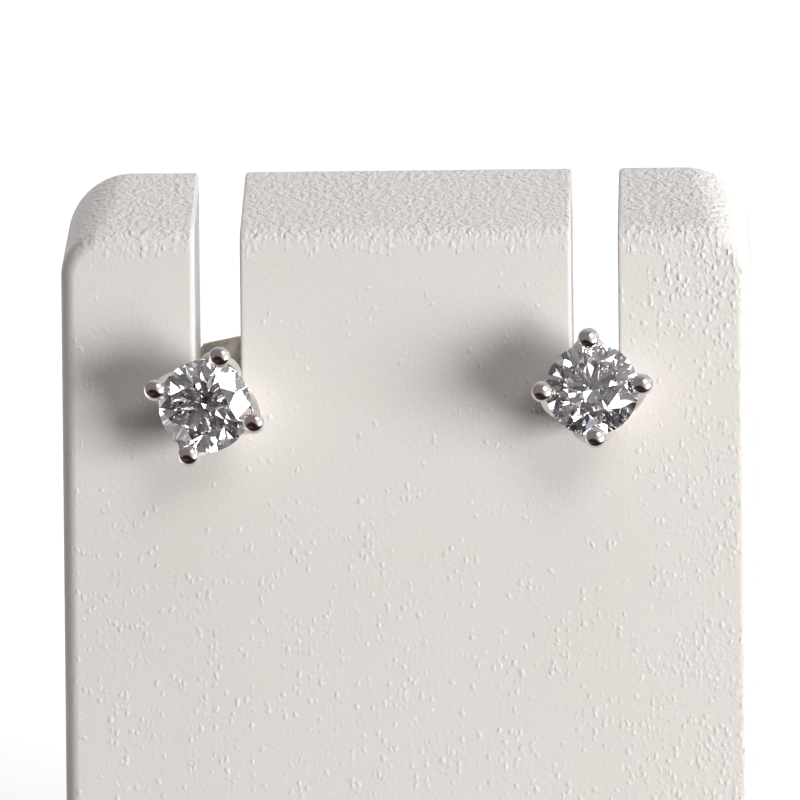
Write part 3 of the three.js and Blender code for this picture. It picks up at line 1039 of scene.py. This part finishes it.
@dataclass
class Stud:
    """One stud: its stone, its setting and its butterfly back, placed in the stand."""

    seating: Seating
    stand: DisplayStand
    brilliant: Brilliant = field(default_factory=Brilliant)
    back: ButterflyBack = field(default_factory=ButterflyBack)
    seat_gap: float = 0.06

    def place(self) -> tuple[Matrix, float]:
        """Where the stud is.

        Returns:
            From the stud's own frame to the model's, and how far behind the stone's middle the
            butterfly back's plate starts.
        """
        seat, stand = self.seating, self.stand
        setting = ClawSetting(seat.claw_circle)
        axis = seat.axis(stand)
        right = stand.up_slope.cross(axis).normalized()
        up = axis.cross(right)
        lift = axis.angle(stand.outward)
        head_gap = setting.foot_radius * math.sin(lift) + self.seat_gap
        nut_gap = math.hypot(self.back.width, self.back.height) / 2 * math.sin(lift) + self.seat_gap
        to_front = head_gap / math.cos(lift) + setting.head_height
        to_nut = to_front + (stand.thickness + nut_gap) / math.cos(lift)
        foot = stand.on_front(seat.slot * stand.slot_spacing / 2 + seat.offset, stand.slot_depth - seat.rise)
        turn = Matrix((right, up, axis)).transposed().to_4x4()
        return Matrix.Translation(foot + axis * to_front) @ turn, to_nut

    def _setting(self) -> bmesh.types.BMesh:
        """The setting, cut to seat this stud's stone."""
        stone = self.brilliant.mesh()
        turn = Matrix.Rotation(math.radians(self.seating.facets + self.seating.roll), 4, "Z")
        bmesh.ops.transform(stone, matrix=turn, verts=stone.verts)
        return ClawSetting(self.seating.claw_circle).mesh(stone)

    def build(self, finishes: Finishes) -> None:
        """Makes and dresses the stud's three pieces."""
        seat = self.seating
        place, to_nut = self.place()
        roll = Matrix.Rotation(-math.radians(seat.roll), 4, "Z")
        stone_turn = Matrix.Rotation(math.radians(seat.facets), 4, "Z")
        nut_turn = Matrix.Translation((0, 0, -to_nut)) @ Matrix.Rotation(math.radians(seat.nut_roll), 4, "Z")
        parts = [
            ("diamond", self.brilliant.mesh(), place @ stone_turn, 1.0, finishes.diamond, Slot.DIAMOND),
            ("setting", self._setting(), place @ roll, 50.0, finishes.white_gold, Slot.WHITE_GOLD),
            ("butterfly_back", self.back.mesh(), place @ nut_turn, 35.0, finishes.nut_gold_painted_shade, Slot.WHITE_GOLD),
        ]
        for name, bm, where, crease, material, slot in parts:
            piece = finish_mesh(bm, f"{seat.side}_{name}_fine", where, crease)
            piece.data.materials.append(material)
            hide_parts(f"{seat.side}_{name}")
            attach(piece, BODY)
            log.info("%s: %d faces", piece.name, len(piece.data.polygons))


# Studio


@dataclass(frozen=True)
class Softbox:
    """A soft rectangular light."""

    name: str
    direction: Point
    distance: float
    size: tuple[float, float]
    power: float
    colour: Colour

    def build(self, centre: Vector) -> None:
        """Hangs the light at its distance from the centre, facing it."""
        light = bpy.data.lights.new(self.name, "AREA")
        light.shape = "RECTANGLE"
        light.size, light.size_y = self.size
        light.energy = self.power
        light.color = self.colour
        lamp = add_object(self.name, light)
        towards = Vector(self.direction).normalized()
        lamp.location = centre + towards * self.distance
        lamp.rotation_mode = "QUATERNION"
        lamp.rotation_quaternion = towards.to_track_quat("Z", "Y")
        lamp.visible_camera = False


@dataclass
class Studio:
    """Floor, lights, surroundings and camera."""

    stand: DisplayStand
    floor_radius: float = 6.0
    azimuth_deg: float = 2.559
    elevation_deg: float = 28.254
    roll_deg: float = -1.784
    distance: float = 447.729
    focal_px: float = 10142.379
    frame_px: float = 800.0
    aim_down: float = 7.4
    aim_shift: tuple[float, float] = (-0.276, 0.029)

    def build(self) -> None:
        """Makes the whole studio."""
        self._floor()
        self._surroundings()
        self._lights()
        self._camera()
        settings = bpy.context.scene.view_settings
        settings.view_transform = "Standard"
        settings.look = "None"
        light_paths = bpy.context.scene.cycles
        light_paths.max_bounces = 16
        light_paths.glossy_bounces = 12
        light_paths.transmission_bounces = 16

    def _floor(self) -> None:
        """A pale floor: bright to the eye; to all other rays dark in front, as a painted dark surround, and
        glowing at the left as a fill light for the stand's left side.
        """
        bm = bmesh.new()
        bmesh.ops.create_circle(bm, cap_ends=True, segments=96, radius=self.floor_radius)
        floor = add_object("floor", mesh_from(bm, "floor"))
        material = bpy.data.materials.new("pale_floor")
        material.use_nodes = True
        material.node_tree.nodes.clear()
        graph = Graph(material.node_tree)
        place = graph.add("ShaderNodeTexCoord").outputs["Object"]
        ahead = graph.ramp(graph.dot(place, AWAY), -0.045, -0.018)
        seen = graph.add("ShaderNodeBsdfDiffuse", {"Color": (0.9, 0.9, 0.9, 1.0)})
        glow = graph.add("ShaderNodeEmission", {"Color": (1.0, 1.0, 1.0, 1.0), "Strength": 0.42})
        bright = graph.add("ShaderNodeAddShader", {0: seen.outputs[0], 1: glow.outputs[0]})
        # Painted shade: dark in front for reflections and bounce light only.
        tone = graph.mix(ahead, (0.03, 0.02, 0.025), (0.75, 0.75, 0.75))
        matt = graph.add("ShaderNodeBsdfDiffuse", {"Color": tone})
        # A glowing patch at the left, seen only by reflections and bounce, which lights the stand like a
        # lamp.
        left = graph.ramp(graph.dot(place, RIGHT), -0.025, -0.06)
        lit = graph.product(left, graph.math("MULTIPLY_ADD", ahead, 0.75, 0.05))
        left_fill_glow = graph.add("ShaderNodeEmission", {"Color": (1.0, 0.99, 0.98, 1.0), "Strength": lit})
        around = graph.add("ShaderNodeAddShader", {0: matt.outputs[0], 1: left_fill_glow.outputs[0]})
        eye = graph.add("ShaderNodeLightPath").outputs["Is Camera Ray"]
        both = graph.add("ShaderNodeMixShader", {0: eye, 1: around.outputs[0], 2: bright.outputs[0]})
        output = graph.add("ShaderNodeOutputMaterial")
        graph.feed(output.inputs["Surface"], both.outputs[0])
        floor.data.materials.append(material)
        floor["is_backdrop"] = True

    def _surroundings(self) -> None:
        """The room: white to the eye, soft to matt surfaces, clear to metal, broken up to the stones."""
        world = bpy.data.worlds.new("room")
        world.use_nodes = True
        world.node_tree.nodes.clear()
        graph = Graph(world.node_tree)
        towards = graph.add("ShaderNodeTexCoord").outputs["Generated"]
        bright_sky, window_side, viewer = (0.22, 0.78, 0.585), (0.85, -0.35, 0.38), (-0.28, -0.92, -0.27)
        behind = graph.ramp(graph.dot(towards, bright_sky), 0.4, 0.97)
        aside = graph.math("ABSOLUTE", graph.math("SUBTRACT", graph.dot(towards, RIGHT), 0.22))
        beside = graph.ramp(aside, 0.15, 0.6)
        soft = graph.mix(behind, (0.03, 0.026, 0.03), (1.96, 1.95, 1.98))
        soft = graph.mix(graph.product(beside, 0.85), soft, (0.06, 0.06, 0.06))
        shade = graph.ramp(graph.dot(towards, viewer), 0.64, 0.8)
        window = graph.ramp(graph.dot(towards, window_side), 0.5, 0.92)
        mirrored = graph.mix(behind, (0.24, 0.22, 0.225), (0.62, 0.61, 0.61))
        mirrored = graph.mix(window, mirrored, (0.95, 0.93, 0.91))
        mirrored = graph.mix(shade, mirrored, (0.045, 0.01, 0.014))
        rays = graph.add("ShaderNodeLightPath").outputs
        tone = graph.mix(rays["Is Glossy Ray"], soft, mirrored)
        tone = graph.mix(rays["Is Transmission Ray"], tone, self._sparkle(graph, towards))
        tone = graph.mix(rays["Is Camera Ray"], tone, (1.0, 1.0, 1.0))
        background = graph.add("ShaderNodeBackground", {"Color": tone, "Strength": 1.0})
        output = graph.add("ShaderNodeOutputWorld")
        graph.feed(output.inputs["Surface"], background.outputs[0])
        bpy.context.scene.world = world

    @staticmethod
    def _sparkle(graph: Graph, towards: Socket) -> Socket:
        """What the stones gather: grey panes beside dark ones, and a few bright tinted ones."""
        panes = graph.add(
            "ShaderNodeTexVoronoi", {"Vector": towards, "Scale": 6.4, "Randomness": 1.0}, feature="F1"
        ).outputs["Color"]
        drawn = graph.add("ShaderNodeSeparateColor", {"Color": panes}).outputs
        low_front = graph.ramp(graph.dot(towards, (-0.1, -0.98, 0.1)), 0.55, 0.75)
        high_front = graph.ramp(graph.dot(towards, (0.0, -0.62, 0.78)), 0.65, 0.85)
        all_round, above, below = (
            graph.mix(drawn["Green"], dark, pale)
            for dark, pale in (
                ((0.07, 0.065, 0.07), (0.42, 0.42, 0.43)),
                ((0.17, 0.18, 0.19), (0.3, 0.31, 0.32)),
                ((0.012, 0.008, 0.012), (0.25, 0.22, 0.23)),
            )
        )
        grey = graph.mix(low_front, graph.mix(high_front, all_round, above), below)
        glint = graph.mix(drawn["Blue"], (0.47, 0.5, 0.62), (0.9, 0.68, 0.54))
        rarer = graph.math("MULTIPLY_ADD", high_front, 0.09, 0.86)
        tinted = graph.math("GREATER_THAN", drawn["Red"], graph.math("SUBTRACT", rarer, 0.14))
        bright = graph.math("GREATER_THAN", drawn["Red"], rarer)
        return graph.mix(bright, graph.mix(tinted, grey, glint), (2.8, 2.8, 2.8))

    def _lights(self) -> None:
        """A large softbox low at the right, a smaller one above it and one behind it."""
        centre = self.stand.on_front(0.0, 7.0) * MM
        for box in (
            Softbox("window_low", (0.81, -0.57, 0.1), 0.5, (0.29, 0.24), 3.36, (1.0, 0.97, 0.945)),
            Softbox("window_high", (0.4, -0.4, 0.82), 0.35, (0.13, 0.13), 0.28, (1.0, 0.975, 0.955)),
            Softbox("window_behind", (0.86, 0.36, 0.34), 0.4, (0.1, 0.1), 0.03, (0.98, 0.99, 1.0)),
        ):
            box.build(centre)

    def _camera(self) -> None:
        """The camera at the photograph's angle and distance."""
        azimuth, elevation, roll = (
            math.radians(a) for a in (self.azimuth_deg, self.elevation_deg, self.roll_deg)
        )
        flat = math.cos(elevation)
        back = Vector((math.sin(azimuth) * flat, -math.cos(azimuth) * flat, math.sin(elevation)))
        level = Vector((math.cos(azimuth), math.sin(azimuth), 0.0))
        steep = back.cross(level)
        right = level * math.cos(roll) + steep * math.sin(roll)
        up = steep * math.cos(roll) - level * math.sin(roll)
        target = self.stand.on_front(0.0, self.aim_down) + right * self.aim_shift[0] + up * self.aim_shift[1]
        data = bpy.data.cameras.new("camera")
        data.sensor_width = 36.0
        data.lens = self.focal_px / self.frame_px * data.sensor_width
        data.clip_start, data.clip_end = 0.01, 50.0
        camera = add_object("camera", data)
        turn = Matrix((right, up, back)).transposed().to_4x4()
        camera.matrix_world = Matrix.Translation((target + back * self.distance) * MM) @ turn
        bpy.context.scene.camera = camera


def corners() -> list[list[float]]:
    """The shown object's lowest and highest corner as plain lists."""
    return [list(corner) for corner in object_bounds()]


def main() -> None:
    """Builds the stand, the two studs and the studio."""
    logging.basicConfig(level=logging.INFO, format="%(name)s: %(message)s")
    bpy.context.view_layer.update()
    stand = DisplayStand()
    pebbles, smudges = pebble_group(), smudge_group()
    covering = Leatherette(stand.lean_deg, edge_height=stand.front_top.dot(stand.up_slope) * MM)
    # Painted shade: the butterfly backs' white gold is given a darker, browner colour, standing in for the
    # shade they sit in at the slots.
    nut_metal_painted_shade = PolishedGold(colour=(0.5, 0.47, 0.42), dull=(0.36, 0.32, 0.24), roughness=0.2, scratches=0.4)
    finishes = Finishes(
        leatherette=covering.material("pebbled_leatherette", pebbles, smudges),
        slot_wall=SlotWallWithPaintedLight().material("slot_wall", smudges),
        diamond=PolishedStone().material("clear_diamond", smudges),
        white_gold=PolishedGold().material("polished_white_gold", smudges),
        nut_gold_painted_shade=nut_metal_painted_shade.material("pressed_white_gold_painted_shade", smudges),
    )
    stand.build(finishes)
    for seating in (
        Seating("left", -1, -0.1, 1.975, 2.3, -6.6, -5.0, 19.0, 2.0, 101.0),
        Seating("right", 1, -0.15, 1.66, 2.2, 9.7, 1.3, -3.6, -13.0, 8.0),
    ):
        Stud(seating, stand).build(finishes)
    Studio(stand).build()


if __name__ == "__main__":
    main()
